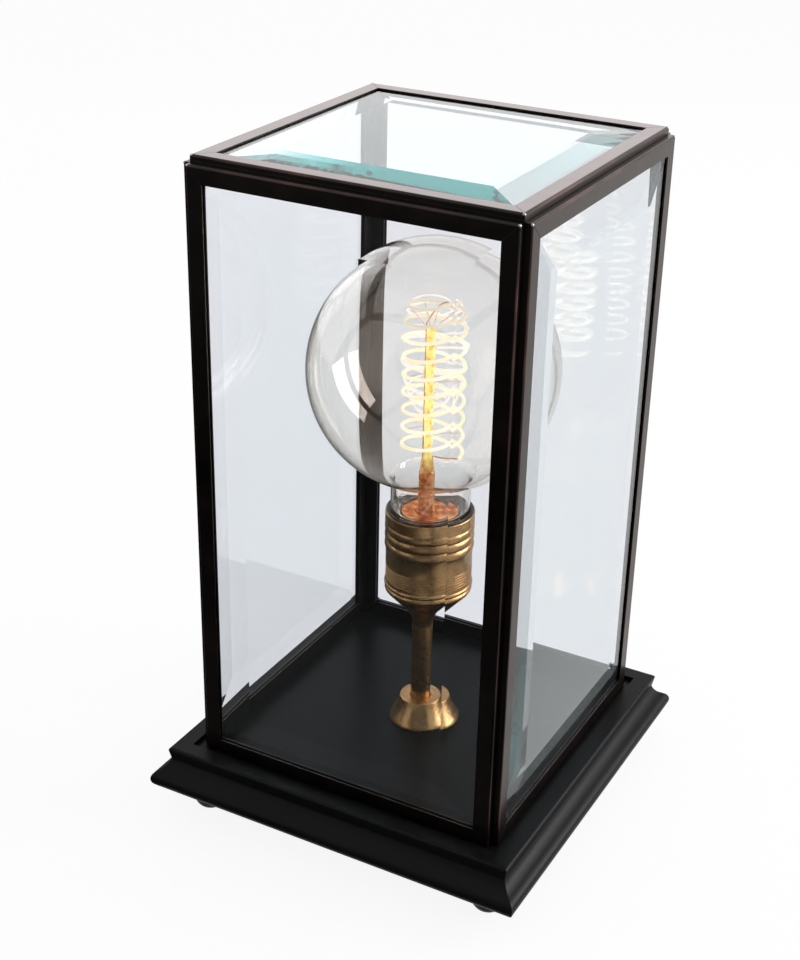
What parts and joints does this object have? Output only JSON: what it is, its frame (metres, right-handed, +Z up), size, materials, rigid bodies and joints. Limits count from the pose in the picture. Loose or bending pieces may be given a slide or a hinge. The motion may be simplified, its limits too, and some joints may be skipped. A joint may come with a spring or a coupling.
{
  "type": "table lantern",
  "caption": "Tall glass-box table lantern: mitred dark frames with bevelled panes lift off a moulded black plinth with a brass lampholder and a globe bulb.",
  "frame": {"origin": "on the table under the middle of the plinth", "axes": "+Z up along the stem, -Y to the front, +X to the right; the cord leaves at +Y"},
  "size_m": [0.215, 0.215, 0.3609],
  "materials": {
    "black_lacquer": "satin black lacquer",
    "black_board": "painted board, matt",
    "steel": "plain",
    "black_rubber": "matt",
    "aged_brass": "brushed and aged",
    "black_plastic": "glossy",
    "porcelain": "glazed white",
    "nickel": "nickel plated",
    "spring_brass": "bright",
    "solder": "soft solder",
    "smoke_glass": "clear, faintly amber",
    "stem_glass": "clear",
    "copper": "copper, satin",
    "filament": "glowing",
    "dark_bronze": "dark patina, edges rubbed reddish",
    "clear_glass": "clear, bevelled, faint green edge"
  },
  "bodies": {
    "base": {"plinth": "black_lacquer", "bottom_board": "black_board", "board_screws": "steel", "foot_front_left": "black_lacquer", "foot_front_right": "black_lacquer", "foot_back_left": "black_lacquer", "foot_back_right": "black_lacquer", "foot_screws": "steel", "cord_bush": "black_rubber", "threaded_tube": "steel", "lock_washer": "steel", "lock_nut": "steel", "stem_flange": "aged_brass", "stem_tube": "aged_brass", "holder_cup": "aged_brass", "holder_sleeve": "aged_brass", "holder_collar": "black_plastic", "holder_core": "porcelain", "screw_shell": "nickel", "contact_tongue": "spring_brass", "terminal_blocks": "spring_brass", "terminal_screws": "steel"},
    "bulb_contact": {"bulb_tip": "solder", "cap_insulator": "black_plastic"},
    "bulb": {"bulb_cap": "nickel", "bulb_glass": "smoke_glass", "glass_stem": "stem_glass", "heat_shield": "copper", "filament": "filament", "filament_hooks": "nickel", "lead_wires": "nickel"},
    "cover": {"front_frame": "dark_bronze", "front_pane": "clear_glass", "right_frame": "dark_bronze", "right_pane": "clear_glass", "back_frame": "dark_bronze", "back_pane": "clear_glass", "left_frame": "dark_bronze", "left_pane": "clear_glass", "lid_frame": "dark_bronze", "lid_pane": "clear_glass"}
  },
  "joints": [
    {"name": "cover_lift", "type": "slide", "parent": "base", "child": "cover", "axis": [0, 0, 1], "range_m": [0, 0.32]},
    {"name": "bulb_rise", "type": "slide", "parent": "base", "child": "bulb_contact", "axis": [0, 0, 1], "range_m": [0, 0.01814]},
    {"name": "bulb_turn", "type": "hinge", "parent": "bulb_contact", "child": "bulb", "pos_m": [0, 0, 0.15], "axis": [0, 0, 1], "range_deg": [0, 1800]}
  ],
  "couplings": [
    {"joint": "bulb_rise", "follows": "bulb_turn", "m_per_rad": 0.00057751}
  ]
}
